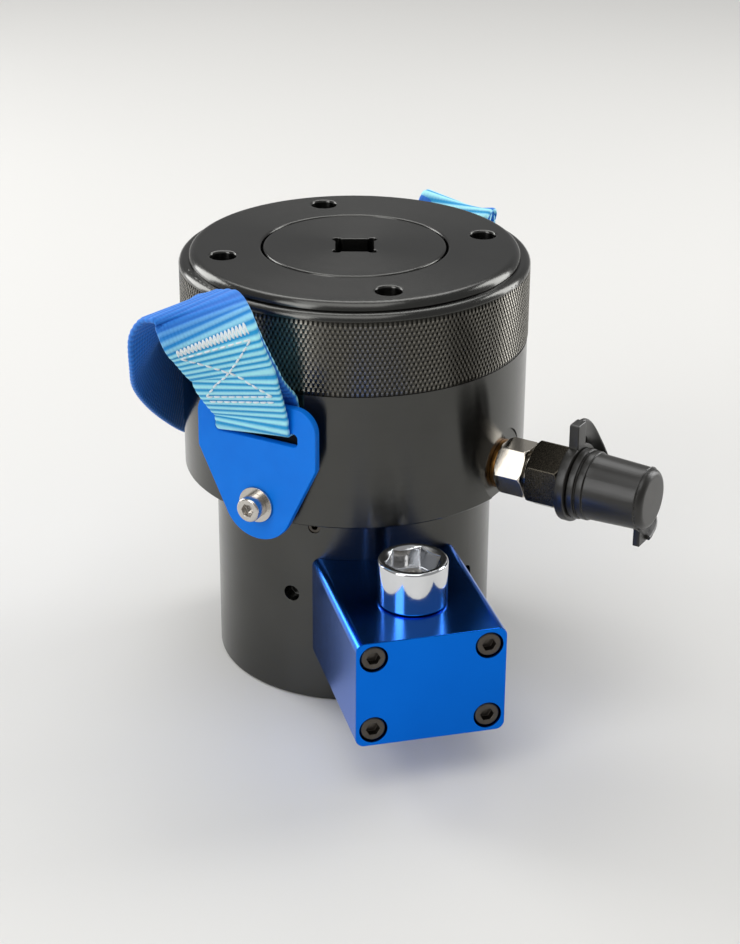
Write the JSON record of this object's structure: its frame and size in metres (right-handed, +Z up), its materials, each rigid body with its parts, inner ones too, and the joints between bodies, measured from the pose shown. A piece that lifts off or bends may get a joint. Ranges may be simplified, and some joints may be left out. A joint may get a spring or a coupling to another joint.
{
  "type": "hydraulic bolt tensioner",
  "caption": "Round hydraulic bolt tensioner with a knurled cylinder on a bridge, a geared nut rotator with a hex drive, a hose coupler under a dust cap and a carry strap.",
  "frame": {"origin": "centre of the bridge's foot, on the axis of the bolt", "axes": "+Z up along the bolt's axis, -Y towards the gearbox, +X to the side of the hose coupler"},
  "size_m": [0.174, 0.1986, 0.1569],
  "materials": {
    "black_steel": "glossy black oxide",
    "hidden_steel": "ground",
    "spring_steel": "drawn wire",
    "screw_dark": "blackened",
    "screw_bright": "stainless",
    "chrome": "polished chrome plate",
    "nickel": "nickel plate",
    "copper": "plain",
    "bronze": "turned",
    "blue_anodised": "anodised",
    "blue_paint": "gloss",
    "webbing": "woven polyester",
    "rubber": "moulded",
    "nylon": "machined"
  },
  "bodies": {
    "body": {"cylinder_body": "black_steel", "cylinder_cap": "black_steel", "neck_seal": "rubber", "return_springs": "spring_steel", "bridge": "black_steel", "bridge_grub_screws": "screw_dark", "rotator_retaining_ring": "spring_steel", "gearbox_housing": "blue_anodised", "gearbox_cover": "blue_anodised", "gearbox_screws": "screw_dark", "cover_screws": "screw_dark", "upper_bush": "bronze", "lower_bush": "bronze", "idler_pin": "hidden_steel", "lug_bushes": "screw_bright", "lug_washers": "screw_bright", "lug_screws": "screw_bright", "strap": "webbing", "port_washer": "copper", "port_adaptor": "nickel", "coupler_body": "black_steel", "valve_spring": "spring_steel", "tether_ring": "rubber", "tether": "rubber"},
    "piston": {"piston": "hidden_steel", "piston_seal": "rubber", "piston_backup_ring": "nylon", "piston_guide_ring": "bronze"},
    "puller": {"puller": "black_steel", "puller_retaining_ring": "spring_steel"},
    "rotator": {"nut_rotator": "hidden_steel", "rotator_gear": "hidden_steel"},
    "idler": {"idler_gear": "hidden_steel", "idler_bush": "bronze"},
    "drive": {"drive_shaft": "hidden_steel", "drive_gear": "hidden_steel", "drive_socket": "chrome", "socket_screw": "screw_bright"},
    "front_lug": {"lug_front": "blue_paint", "strap_front_end": "webbing"},
    "back_lug": {"lug_back": "blue_paint", "strap_back_end": "webbing"},
    "valve": {"coupler_valve": "nickel"},
    "dust_cap": {"dust_cap": "rubber"}
  },
  "joints": [
    {"name": "piston_slide", "type": "slide", "parent": "body", "child": "piston", "axis": [0, 0, 1], "range_m": [0, 0.012], "stiffness_N_per_m": 20000, "deforming": ["return_springs"]},
    {"name": "puller_spin", "type": "hinge", "parent": "piston", "child": "puller", "pos_m": [0, 0, 0.1], "axis": [0, 0, 1], "continuous": true},
    {"name": "rotator_spin", "type": "hinge", "parent": "body", "child": "rotator", "pos_m": [0, 0, 0.03], "axis": [0, 0, 1], "continuous": true},
    {"name": "idler_spin", "type": "hinge", "parent": "body", "child": "idler", "pos_m": [0, -0.0525, 0.0365], "axis": [0, 0, 1], "continuous": true},
    {"name": "drive_spin", "type": "hinge", "parent": "body", "child": "drive", "pos_m": [0, -0.0795, 0.0365], "axis": [0, 0, 1], "continuous": true},
    {"name": "front_lug_swivel", "type": "hinge", "parent": "body", "child": "front_lug", "pos_m": [-0.0443, -0.0475, 0.081], "axis": [-0.682, -0.7314, 0], "range_deg": [-25, 25], "deforming": ["strap"]},
    {"name": "back_lug_swivel", "type": "hinge", "parent": "body", "child": "back_lug", "pos_m": [0.0443, 0.0475, 0.081], "axis": [0.682, 0.7314, 0], "range_deg": [-25, 25], "deforming": ["strap"]},
    {"name": "valve_press", "type": "slide", "parent": "body", "child": "valve", "axis": [-0.7071, 0.7071, 0], "range_m": [0, 0.003], "stiffness_N_per_m": 1500, "deforming": ["valve_spring"]},
    {"name": "dust_cap_pull", "type": "slide", "parent": "body", "child": "dust_cap", "axis": [0.7071, -0.7071, 0], "range_m": [0, 0.035], "deforming": ["tether"]}
  ],
  "couplings": [
    {"joint": "idler_spin", "follows": "rotator_spin", "ratio": -2.8889},
    {"joint": "drive_spin", "follows": "rotator_spin", "ratio": 2.8889}
  ]
}
